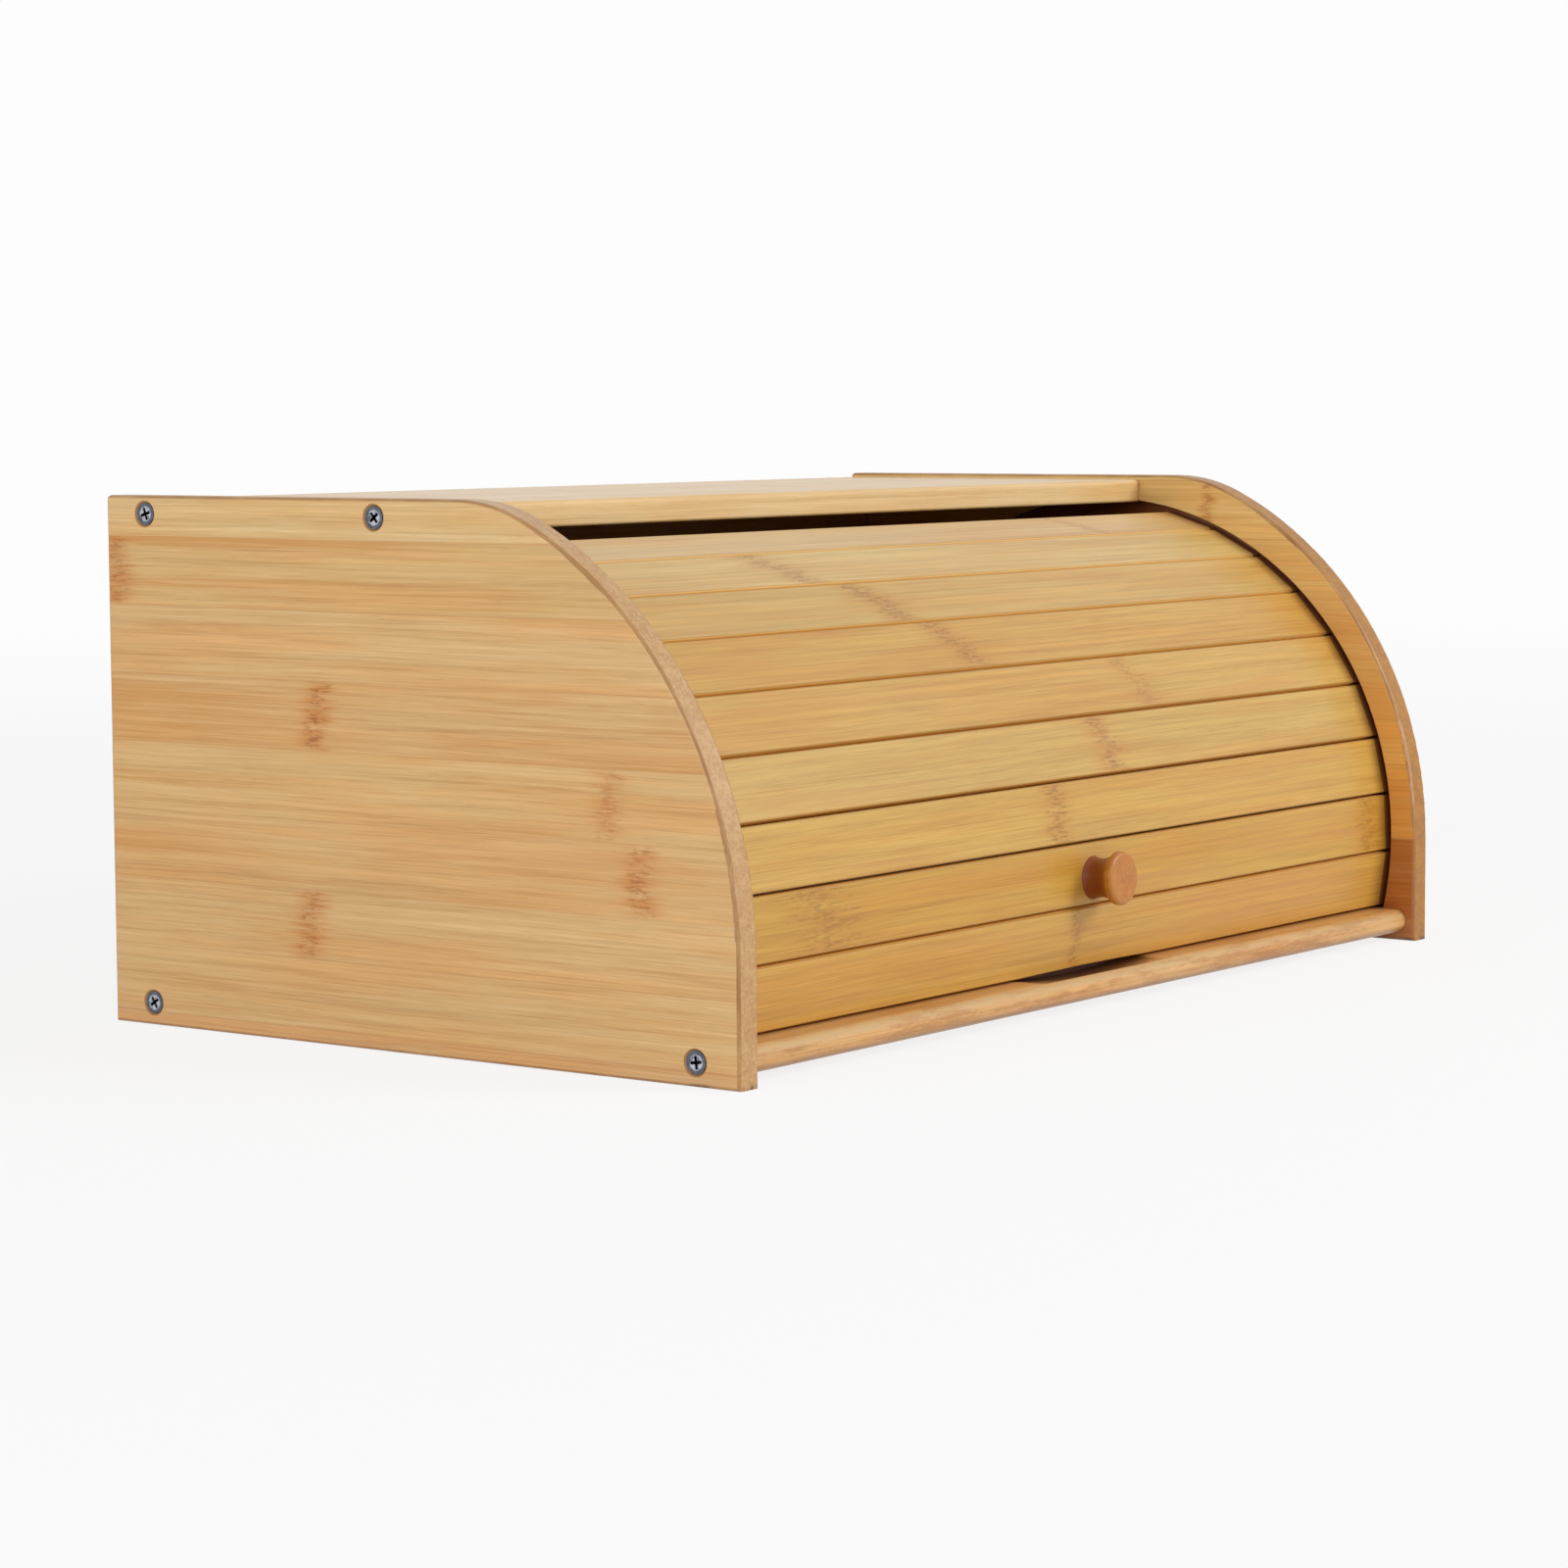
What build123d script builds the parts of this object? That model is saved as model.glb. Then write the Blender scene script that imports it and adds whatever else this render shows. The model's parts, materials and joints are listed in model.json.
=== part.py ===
from build123d import *
import os
from math import asin, cos, degrees, radians, sin, tan

os.makedirs("parts", exist_ok=True)

# Roll-top bread box of glued bamboo boards, in millimetres.
# X runs along the width, Y from the front to the back, Z up from the worktop.
# The origin lies on the worktop, under the middle of the box.

# Overall sizes
width = 420.0
depth = 252.0
height = 169.5

# Side boards: a straight front edge, a large round shoulder and a flat top
side_thickness = 9.5
shoulder_radius = 139.0
shoulder_start = 38.0
shoulder_blend = 60.0
side_corner = 1.5
side_edge_round = 1.2

# Top board, lying a little below the tops of the sides
top_thickness = 8.5
top_drop = 1.6
top_front = 118.0
top_nose_round = 2.0
top_lip_round = 1.0

# Base board, held clear of the worktop, with a rounded front lip
base_thickness = 8.5
base_lift = 3.0
base_setback = 3.4
base_nose_round = 4.0

# Finger gap under the bottom slat: a recess in the base and a hollow in the slat's lower edge
finger_gap_length = 84.0
finger_recess_depth = 2.4
finger_recess_behind_nose = 2.6
finger_recess_reach = 17.0
finger_hollow = 0.7

# Back board, slid into a groove all round
back_thickness = 5.0
back_inset = 3.0
back_tongue = 4.0
back_slot_depth = 3.0
back_play = 0.3
back_head_room = 0.4

# Curtain of slats, which turns about one axis along its round track
track_axis_from_front = 131.8
track_axis_height = 38.5
slat_face_radius = 119.8
slat_count = 9
slat_width = 20.0
slat_thickness = 5.0
slat_gap = 1.0
slat_edge_round = 0.7
slat_bottom_gap = 0.3
open_angle = 76.0

# Track grooves in the sides
track_depth = 5.0
track_end_play = 0.5
track_inner_play = 0.35
track_outer_play = 2.4
track_stop_play = 0.5

# Cloth glued to the inside of the slats
backing_thickness = 0.5
backing_side_margin = 6.0
backing_end_margin = 2.0

# Turned knob on the second slat from the bottom
knob_slat = 1
knob_below_middle = 1.5
knob_length = 12.0
knob_base_radius = 7.2
knob_neck_radius = 6.4
knob_neck_height = 3.6
knob_head_radius = 8.8
knob_rim_height = 9.6
knob_rim_round = 1.3

# Screw that holds the knob, put in from the inside
knob_screw_radius = 1.5
knob_screw_grip = 8.0
knob_screw_tip = 1.5
knob_screw_head_radius = 3.3
knob_screw_head_height = 2.0
knob_screw_head_round = 0.8
knob_screw_recess_length = 3.4
knob_screw_recess_depth = 1.1
knob_screw_play = 0.15
knob_pilot_play = 0.05

# Countersunk screws through the sides into the ends of the top and base boards
screw_radius = 1.75
screw_length = 30.0
screw_head_radius = 3.55
screw_head_rim = 0.3
screw_head_sink = 0.35
screw_tip = 4.0
screw_play = 0.15
screw_pilot_play = 0.05
screw_pilot_spare = 1.0
screw_seat_play = 0.05
screw_from_back = 17.0
top_middle_screw_behind_edge = 20.0
base_front_screw_behind_nose = 12.6
screw_turns = {"top_back": 18.0, "top_middle": 40.0, "base_back": 33.0, "base_front": 8.0}

# Cross recess in the screw heads
recess_length = 4.0
recess_width = 0.95
recess_depth = 1.2
recess_taper = 12.0

# Places that follow from these sizes
front = -depth / 2
back = depth / 2
inner_half = width / 2 - side_thickness
base_top = base_lift + base_thickness
top_upper = height - top_drop
top_under = top_upper - top_thickness
back_slot_y = back - back_inset - back_thickness / 2
back_slot_width = back_thickness + back_play
track_y = front + track_axis_from_front
track_z = track_axis_height
slat_middle_radius = slat_face_radius - slat_thickness / 2
slat_inner_radius = slat_face_radius - slat_thickness
slat_pitch = 2 * degrees(asin((slat_width + slat_gap) / 2 / slat_face_radius))
slat_outer_corner = (slat_face_radius**2 + (slat_width / 2) ** 2) ** 0.5
curtain_start = -degrees(asin((track_z - base_top - slat_bottom_gap) / slat_outer_corner))
curtain_end = curtain_start + slat_count * slat_pitch
slat_half_length = inner_half + track_depth - track_end_play
track_inner = slat_inner_radius - track_inner_play
track_outer = slat_face_radius + track_outer_play
sink_radius = screw_head_radius + screw_head_rim + screw_head_sink + screw_seat_play
screw_places = {
    "top_back": (back - screw_from_back, top_under + top_thickness / 2),
    "top_middle": (front + top_front + top_middle_screw_behind_edge, top_under + top_thickness / 2),
    "base_back": (back - screw_from_back, base_lift + base_thickness / 2),
    "base_front": (
        front + base_setback + base_front_screw_behind_nose,
        base_lift + base_thickness / 2,
    ),
}
top_screws = ("top_back", "top_middle")
base_screws = ("base_back", "base_front")


def save(piece, name):
    """Label a finished piece and write its file."""
    piece.part.label = name
    export_step(piece.part, f"parts/{name}.step")


def track_point(radius, angle):
    """Y and Z of a point on the track, by its angle above the level front direction."""
    return (
        track_y - radius * cos(radians(angle)),
        track_z + radius * sin(radians(angle)),
    )


def slat_angle(index):
    """Angle of the middle of a slat, counted from the bottom one."""
    return curtain_start + (index + 0.5) * slat_pitch


def slat_plane(index, x):
    """Cross-section plane of a slat: its x runs up along the slat, its y outwards."""
    angle = radians(slat_angle(index))
    return Plane(
        origin=(x, track_y, track_z),
        x_dir=(0, sin(angle), cos(angle)),
        z_dir=(1, 0, 0),
    )


def slat_point(index, along, radius):
    """Y and Z of a point that is given in the plane of a slat."""
    angle = radians(slat_angle(index))
    return (
        track_y + along * sin(angle) - radius * cos(angle),
        track_z + along * cos(angle) + radius * sin(angle),
    )


def side_board(hand):
    """Side board with its track, the groove for the back and its screw holes."""
    inner_face = hand * inner_half
    outer_face = hand * width / 2
    shoulder_rise = height - shoulder_start
    top_turn = asin(shoulder_rise / shoulder_radius)
    shoulder_end = front + shoulder_radius * (1 - cos(top_turn))
    shoulder_middle = (
        front + shoulder_radius * (1 - cos(top_turn / 2)),
        shoulder_start + shoulder_radius * sin(top_turn / 2),
    )
    track_foot_outer = -degrees(asin((track_z - base_top) / track_outer))
    track_foot_inner = -degrees(asin((track_z - base_top) / track_inner))
    track_end = curtain_end + open_angle + track_stop_play
    track_middle = (track_foot_outer + track_end) / 2

    with BuildPart() as board:
        with BuildSketch(Plane.YZ.offset(outer_face)) as outline:
            with BuildLine():
                Polyline((back, height), (back, 0), (front, 0), (front, shoulder_start))
                ThreePointArc((front, shoulder_start), shoulder_middle, (shoulder_end, height))
                Line((shoulder_end, height), (back, height))
            make_face()
            corners = outline.vertices()
            shoulder_corner = corners.group_by(Axis.Y)[-1].sort_by(Axis.X)[0]
            foot_corners = corners.group_by(Axis.Y)[0]
            fillet(shoulder_corner, radius=shoulder_blend)
            fillet(foot_corners, radius=side_corner)
            fillet(outline.vertices().group_by(Axis.Y)[-1].sort_by(Axis.X)[-1], radius=side_corner)
        extrude(amount=-hand * side_thickness)
        fillet(board.faces().filter_by(Axis.X).edges(), radius=side_edge_round)

        with BuildSketch(Plane.YZ.offset(inner_face)):
            with BuildLine():
                ThreePointArc(
                    track_point(track_outer, track_foot_outer),
                    track_point(track_outer, track_middle),
                    track_point(track_outer, track_end),
                )
                Line(track_point(track_outer, track_end), track_point(track_inner, track_end))
                ThreePointArc(
                    track_point(track_inner, track_end),
                    track_point(track_inner, track_middle),
                    track_point(track_inner, track_foot_inner),
                )
                Line(
                    track_point(track_inner, track_foot_inner),
                    track_point(track_outer, track_foot_outer),
                )
            make_face()
        extrude(amount=hand * track_depth, mode=Mode.SUBTRACT)

        slot_bottom = base_top - back_slot_depth
        slot_top = top_under + back_slot_depth
        with BuildSketch(Plane.YZ.offset(inner_face)):
            with Locations((back_slot_y, (slot_bottom + slot_top) / 2)):
                Rectangle(back_slot_width, slot_top - slot_bottom)
        extrude(amount=hand * back_tongue, mode=Mode.SUBTRACT)

        for place_y, place_z in screw_places.values():
            with Locations(Plane(origin=(outer_face, place_y, place_z), z_dir=(hand, 0, 0))):
                CounterSinkHole(
                    radius=screw_radius + screw_play,
                    counter_sink_radius=sink_radius,
                    depth=side_thickness,
                    counter_sink_angle=90,
                )
    return board


def cut_end_holes(places):
    """Pilot holes for the screws in both ends of the board that is being made."""
    hole_depth = screw_length + screw_head_sink - side_thickness + screw_pilot_spare
    for hand in (-1, 1):
        for place in places:
            place_y, place_z = screw_places[place]
            with Locations(Plane(origin=(hand * inner_half, place_y, place_z), z_dir=(hand, 0, 0))):
                Hole(radius=screw_radius + screw_pilot_play, depth=hole_depth)


def side_screws(hand, places):
    """Countersunk screws of one side, each turned as it happened to stop."""
    head_x = hand * (width / 2 - screw_head_sink)
    cone_end = screw_head_rim + screw_head_radius - screw_radius
    with BuildPart() as screws:
        for place in places:
            place_y, place_z = screw_places[place]
            head = (head_x, place_y, place_z)
            with BuildSketch(Plane(origin=head, x_dir=(0, 1, 0), z_dir=(0, 0, hand))):
                with BuildLine():
                    Polyline(
                        (0, 0),
                        (screw_head_radius, 0),
                        (screw_head_radius, screw_head_rim),
                        (screw_radius, cone_end),
                        (screw_radius, screw_length - screw_tip),
                        (0, screw_length),
                        close=True,
                    )
                make_face()
            revolve(axis=Axis(head, (hand, 0, 0)))
            with BuildSketch(Plane(origin=head, x_dir=(0, 1, 0), z_dir=(hand, 0, 0))):
                Rectangle(recess_length, recess_width, rotation=screw_turns[place])
                Rectangle(recess_width, recess_length, rotation=screw_turns[place])
            extrude(amount=-recess_depth, taper=recess_taper, mode=Mode.SUBTRACT)
    return screws


# Sides
for side_name, side_hand in (("left", -1), ("right", 1)):
    save(side_board(side_hand), f"{side_name}_side")
    save(side_screws(side_hand, top_screws), f"{side_name}_top_screws")
    save(side_screws(side_hand, base_screws), f"{side_name}_base_screws")

# Top board
with BuildPart() as top_panel:
    with BuildSketch(Plane.XY.offset(top_under)):
        with Locations((0, (front + top_front + back) / 2)):
            Rectangle(2 * inner_half, depth - top_front)
    extrude(amount=top_thickness)
    top_front_edges = top_panel.edges().filter_by(Axis.X).group_by(Axis.Y)[0]
    fillet(top_front_edges.sort_by(Axis.Z)[-1], radius=top_nose_round)
    top_front_edges = top_panel.faces().sort_by(Axis.Z)[0].edges().filter_by(Axis.X)
    fillet(top_front_edges.sort_by(Axis.Y)[0], radius=top_lip_round)
    with BuildSketch(Plane.XY.offset(top_under)):
        with Locations((0, back_slot_y)):
            Rectangle(2 * inner_half, back_slot_width)
    extrude(amount=back_slot_depth, mode=Mode.SUBTRACT)
    cut_end_holes(top_screws)
save(top_panel, "top_panel")

# Base board
with BuildPart() as base_panel:
    with BuildSketch(Plane.XY.offset(base_lift)):
        with Locations((0, (front + base_setback + back) / 2)):
            Rectangle(2 * inner_half, depth - base_setback)
    extrude(amount=base_thickness)
    fillet(base_panel.edges().filter_by(Axis.X).group_by(Axis.Y)[0], radius=base_nose_round)
    with BuildSketch(Plane.XY.offset(base_top)):
        with Locations((0, back_slot_y)):
            Rectangle(2 * inner_half, back_slot_width)
    extrude(amount=-back_slot_depth, mode=Mode.SUBTRACT)
    recess_start = front + base_setback + finger_recess_behind_nose
    with BuildSketch(Plane.XZ.offset(-recess_start)):
        with BuildLine():
            Line((-finger_gap_length / 2, base_top), (finger_gap_length / 2, base_top))
            ThreePointArc(
                (-finger_gap_length / 2, base_top),
                (0, base_top - finger_recess_depth),
                (finger_gap_length / 2, base_top),
            )
        make_face()
    extrude(amount=-finger_recess_reach, mode=Mode.SUBTRACT)
    cut_end_holes(base_screws)
save(base_panel, "base_panel")

# Back board, standing on the floor of its groove
with BuildPart() as back_panel:
    back_bottom = base_top - back_slot_depth
    back_height = top_under + back_slot_depth - back_head_room - back_bottom
    with BuildSketch(Plane.XY.offset(back_bottom)):
        with Locations((0, back_slot_y)):
            Rectangle(2 * (inner_half + back_tongue - back_play), back_thickness)
    extrude(amount=back_height)
save(back_panel, "back_panel")

# Slats, counted from the bottom one, which is hollowed along its lower edge;
# the one with the knob is drilled for its screw
for slat_index in range(slat_count):
    with BuildPart() as slat:
        with BuildSketch(slat_plane(slat_index, -slat_half_length)) as section:
            with Locations((0, slat_middle_radius)):
                Rectangle(slat_width, slat_thickness)
            fillet(section.vertices().group_by(Axis.Y)[-1], radius=slat_edge_round)
        extrude(amount=2 * slat_half_length)
        if slat_index == 0:
            edge_y, edge_z = slat_point(0, -slat_width / 2, slat_inner_radius)
            edge_out = slat_plane(0, 0).y_dir
            with BuildSketch(Plane(origin=(0, edge_y, edge_z), x_dir=(1, 0, 0), z_dir=edge_out)):
                with BuildLine():
                    Line((-finger_gap_length / 2, 0), (finger_gap_length / 2, 0))
                    ThreePointArc(
                        (-finger_gap_length / 2, 0),
                        (0, finger_hollow),
                        (finger_gap_length / 2, 0),
                    )
                make_face()
            extrude(amount=slat_thickness, mode=Mode.SUBTRACT)
        if slat_index == knob_slat:
            hole_y, hole_z = slat_point(slat_index, -knob_below_middle, slat_face_radius)
            hole_out = slat_plane(slat_index, 0).y_dir
            with Locations(Plane(origin=(0, hole_y, hole_z), z_dir=hole_out)):
                Hole(radius=knob_screw_radius + knob_screw_play, depth=slat_thickness)
    save(slat, f"slat_{slat_index + 1:02d}")

# Cloth backing, flat against the inner face of each slat
facet_half = slat_inner_radius * tan(radians(slat_pitch / 2))
cloth_radius = slat_inner_radius - backing_thickness
cloth_facet_half = cloth_radius * tan(radians(slat_pitch / 2))
cloth_end = slat_width / 2 - backing_end_margin
glued_line = [slat_point(0, -cloth_end, slat_inner_radius)]
free_line = [slat_point(0, -cloth_end, cloth_radius)]
for slat_index in range(slat_count - 1):
    glued_line.append(slat_point(slat_index, facet_half, slat_inner_radius))
    free_line.append(slat_point(slat_index, cloth_facet_half, cloth_radius))
glued_line.append(slat_point(slat_count - 1, cloth_end, slat_inner_radius))
free_line.append(slat_point(slat_count - 1, cloth_end, cloth_radius))
knob_y, knob_z = slat_point(knob_slat, -knob_below_middle, slat_face_radius)
knob_out = slat_plane(knob_slat, 0).y_dir
with BuildPart() as curtain_backing:
    with BuildSketch(Plane.YZ.offset(-inner_half + backing_side_margin)):
        with BuildLine():
            Polyline(*glued_line, *reversed(free_line), close=True)
        make_face()
    extrude(amount=2 * (inner_half - backing_side_margin))
    with Locations(Plane(origin=(0, knob_y, knob_z), z_dir=knob_out)):
        Hole(
            radius=knob_screw_radius + knob_screw_play,
            depth=slat_thickness + 2 * backing_thickness,
        )
save(curtain_backing, "curtain_backing")

# Knob, turned about the line that stands square on its slat
knob_seat = (0, knob_y, knob_z)
knob_section = Plane(origin=knob_seat, x_dir=(1, 0, 0), z_dir=-slat_plane(knob_slat, 0).x_dir)
with BuildPart() as knob:
    with BuildSketch(knob_section) as half_profile:
        with BuildLine():
            Line((0, 0), (knob_base_radius, 0))
            ThreePointArc(
                (knob_base_radius, 0),
                (knob_neck_radius, knob_neck_height),
                (knob_head_radius, knob_rim_height),
            )
            Polyline(
                (knob_head_radius, knob_rim_height),
                (knob_head_radius, knob_length),
                (0, knob_length),
                (0, 0),
            )
        make_face()
        rim_corner = half_profile.vertices().group_by(Axis.X)[-1].sort_by(Axis.Y)[-1]
        fillet(rim_corner, radius=knob_rim_round)
    revolve(axis=Axis(knob_seat, knob_out))
    with Locations(Plane(origin=knob_seat, z_dir=-knob_out)):
        Hole(radius=knob_screw_radius + knob_pilot_play, depth=knob_screw_grip + knob_screw_tip / 2)
save(knob, "knob")

# Knob screw, its head bearing on the cloth
screw_start = -(slat_thickness + backing_thickness)
head_start = screw_start - knob_screw_head_height
with BuildPart() as knob_screw:
    with BuildSketch(knob_section) as half_screw:
        with BuildLine():
            Polyline(
                (0, head_start),
                (knob_screw_head_radius, head_start),
                (knob_screw_head_radius, screw_start),
                (knob_screw_radius, screw_start),
                (knob_screw_radius, knob_screw_grip - knob_screw_tip),
                (0, knob_screw_grip),
                close=True,
            )
        make_face()
        head_corner = half_screw.vertices().group_by(Axis.X)[-1].sort_by(Axis.Y)[0]
        fillet(head_corner, radius=knob_screw_head_round)
    revolve(axis=Axis(knob_seat, knob_out))
    head_y, head_z = slat_point(knob_slat, -knob_below_middle, slat_face_radius + head_start)
    with BuildSketch(Plane(origin=(0, head_y, head_z), x_dir=(1, 0, 0), z_dir=-knob_out)):
        Rectangle(knob_screw_recess_length, recess_width)
        Rectangle(recess_width, knob_screw_recess_length)
    extrude(amount=-knob_screw_recess_depth, taper=recess_taper, mode=Mode.SUBTRACT)
save(knob_screw, "knob_screw")
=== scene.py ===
import json
import math
import bmesh
import bpy
from mathutils import Matrix, Vector


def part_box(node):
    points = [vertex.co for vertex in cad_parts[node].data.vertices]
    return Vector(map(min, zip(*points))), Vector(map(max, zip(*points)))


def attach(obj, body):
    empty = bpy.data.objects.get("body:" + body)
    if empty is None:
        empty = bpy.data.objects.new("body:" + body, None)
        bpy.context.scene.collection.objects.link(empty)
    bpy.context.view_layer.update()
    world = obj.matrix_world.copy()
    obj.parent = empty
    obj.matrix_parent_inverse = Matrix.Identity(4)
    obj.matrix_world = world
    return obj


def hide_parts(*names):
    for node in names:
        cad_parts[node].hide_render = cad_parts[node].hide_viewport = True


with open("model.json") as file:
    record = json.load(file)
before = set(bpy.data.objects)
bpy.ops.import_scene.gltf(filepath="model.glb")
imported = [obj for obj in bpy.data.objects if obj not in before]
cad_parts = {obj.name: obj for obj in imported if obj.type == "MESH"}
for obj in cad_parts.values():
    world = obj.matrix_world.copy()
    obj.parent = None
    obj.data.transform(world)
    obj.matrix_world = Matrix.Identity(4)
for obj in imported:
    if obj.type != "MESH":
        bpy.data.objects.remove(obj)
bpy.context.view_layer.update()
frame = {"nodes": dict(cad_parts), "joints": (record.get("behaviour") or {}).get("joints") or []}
nodes = frame["nodes"]
mm = 0.001
trackAxis = Vector(frame["joints"][0]["pos_m"])
print("frame loaded:", len(nodes), "nodes")


# camera: where the photograph was taken from, in metres and degrees
camera = {
    "place": (-1.16966, -0.84955, 0.19878),
    "azimuth": -53.62,
    "elevation": 5.21,
    "roll": -0.31,
    "focalPixels": 4304.4,
    "imagePixels": 1600,
    "sensor": 36.0,
}


def makeCamera(look):
    azimuth, elevation, roll = (math.radians(look[key]) for key in ("azimuth", "elevation", "roll"))
    back = Vector((
        math.sin(azimuth) * math.cos(elevation),
        -math.cos(azimuth) * math.cos(elevation),
        math.sin(elevation),
    ))
    level = Vector((math.cos(azimuth), math.sin(azimuth), 0))
    upright = back.cross(level)
    right = level * math.cos(roll) + upright * math.sin(roll)
    up = upright * math.cos(roll) - level * math.sin(roll)
    data = bpy.data.cameras.new("camera")
    data.sensor_width = look["sensor"]
    data.lens = look["focalPixels"] / look["imagePixels"] * look["sensor"]
    data.clip_start, data.clip_end = 0.05, 60
    shot = bpy.data.objects.new("camera", data)
    bpy.context.scene.collection.objects.link(shot)
    turn = Matrix((right, up, back)).transposed().to_4x4()
    shot.matrix_world = Matrix.Translation(look["place"]) @ turn
    bpy.context.scene.camera = shot


makeCamera(camera)
print("camera set")


# small helpers for building materials out of nodes
def paint(red, green, blue):  # screen colour, 0 to 255, as the linear colour that nodes take
    def linear(value):
        value /= 255
        return value / 12.92 if value <= 0.04045 else ((value + 0.055) / 1.055) ** 2.4
    return (linear(red), linear(green), linear(blue), 1)


def plug(tree, node, inputs):  # a socket is linked, anything else is the input's own value
    for key, value in inputs.items():
        if isinstance(value, bpy.types.NodeSocket):
            tree.links.new(value, node.inputs[key])
        else:
            node.inputs[key].default_value = value


def addNode(tree, kind, inputs=None, **settings):
    node = tree.nodes.new("ShaderNode" + kind)
    for key, value in settings.items():
        setattr(node, key, value)
    plug(tree, node, inputs or {})
    return node


def calc(tree, operation, first, second=0.0, third=0.0):
    node = addNode(tree, "Math", {0: first, 1: second, 2: third}, operation=operation)
    return node.outputs[0]


def product(tree, *values):
    total = values[0]
    for value in values[1:]:
        total = calc(tree, "MULTIPLY", total, value)
    return total


def inverse(tree, value):
    return calc(tree, "SUBTRACT", 1.0, value)


def parts(tree, vector):
    return addNode(tree, "SeparateXYZ", {0: vector}).outputs


def scaled(tree, vector, factors):
    node = addNode(tree, "VectorMath", {0: vector, 1: factors}, operation="MULTIPLY")
    return node.outputs[0]


def joined(tree, x, y, z):
    return addNode(tree, "CombineXYZ", {0: x, 1: y, 2: z}).outputs[0]


def length(tree, vector):
    return addNode(tree, "VectorMath", {0: vector}, operation="LENGTH").outputs["Value"]


def smooth(tree, value, low, high):  # 0 below low, 1 above high, eased between
    node = addNode(tree, "MapRange", {"Value": value, "From Min": low, "From Max": high},
                   interpolation_type="SMOOTHSTEP")
    return node.outputs[0]


def below(tree, value, low, high):  # 1 below low, 0 above high
    return inverse(tree, smooth(tree, value, low, high))


def between(tree, value, low, full, falling, high):  # eases up from low to full, and down again
    return product(tree, smooth(tree, value, low, full), below(tree, value, falling, high))


def remap(tree, value, low, high, newLow, newHigh):
    node = addNode(tree, "MapRange", {
        "Value": value, "From Min": low, "From Max": high, "To Min": newLow, "To Max": newHigh})
    return node.outputs[0]


def noise(tree, vector, detail=2.0, roughness=0.5, distortion=0.0):
    node = addNode(tree, "TexNoise", {
        "Vector": vector, "Scale": 1.0, "Detail": detail, "Roughness": roughness,
        "Distortion": distortion})
    return node.outputs[0]


def mixColour(tree, factor, first, second, blend="MIX"):
    node = addNode(tree, "Mix", {0: factor, 6: first, 7: second}, data_type="RGBA", blend_type=blend)
    return node.outputs[2]


def ramp(tree, factor, stops, easing="LINEAR"):
    node = addNode(tree, "ValToRGB", {0: factor})
    band = node.color_ramp
    band.interpolation = easing
    while len(band.elements) < len(stops):
        band.elements.new(0.5)
    for element, (place, colour) in zip(band.elements, stops):
        element.position = place
        element.color = colour
    return node.outputs[0]


def newGroup(name, inputs, outputs):
    tree = bpy.data.node_groups.new(name, "ShaderNodeTree")
    for label, kind in inputs:
        tree.interface.new_socket(name=label, in_out="INPUT", socket_type="NodeSocket" + kind)
    for label, kind in outputs:
        tree.interface.new_socket(name=label, in_out="OUTPUT", socket_type="NodeSocket" + kind)
    source = tree.nodes.new("NodeGroupInput")
    target = tree.nodes.new("NodeGroupOutput")
    return tree, source.outputs, target.inputs


def useGroup(tree, group, inputs):
    node = tree.nodes.new("ShaderNodeGroup")
    node.node_tree = group
    plug(tree, node, inputs)
    return node.outputs


def emptyMaterial(name):
    material = bpy.data.materials.new(name)
    material.use_nodes = True
    tree = material.node_tree
    tree.nodes.clear()
    return material, tree, tree.nodes.new("ShaderNodeOutputMaterial")


def newMaterial(name):
    material, tree, output = emptyMaterial(name)
    shader = tree.nodes.new("ShaderNodeBsdfPrincipled")
    tree.links.new(shader.outputs[0], output.inputs[0])
    return material, tree, shader


def localPlace(tree, centre, turn):  # millimetres along the grain, across it and through the board
    source = addNode(tree, "TexCoord").outputs["Object"]
    return addNode(tree, "Mapping", {
        "Vector": source, "Location": centre, "Rotation": turn.to_euler(), "Scale": (mm, mm, mm),
    }, vector_type="TEXTURE").outputs[0]


def millimetres(tree):
    return scaled(tree, addNode(tree, "TexCoord").outputs["Object"], (1 / mm, 1 / mm, 1 / mm))


def makePiece(name, shape):  # a finished bmesh becomes an object in the scene
    mesh = bpy.data.meshes.new(name)
    shape.to_mesh(mesh)
    shape.free()
    piece = bpy.data.objects.new(name, mesh)
    bpy.context.scene.collection.objects.link(piece)
    return piece


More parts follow.
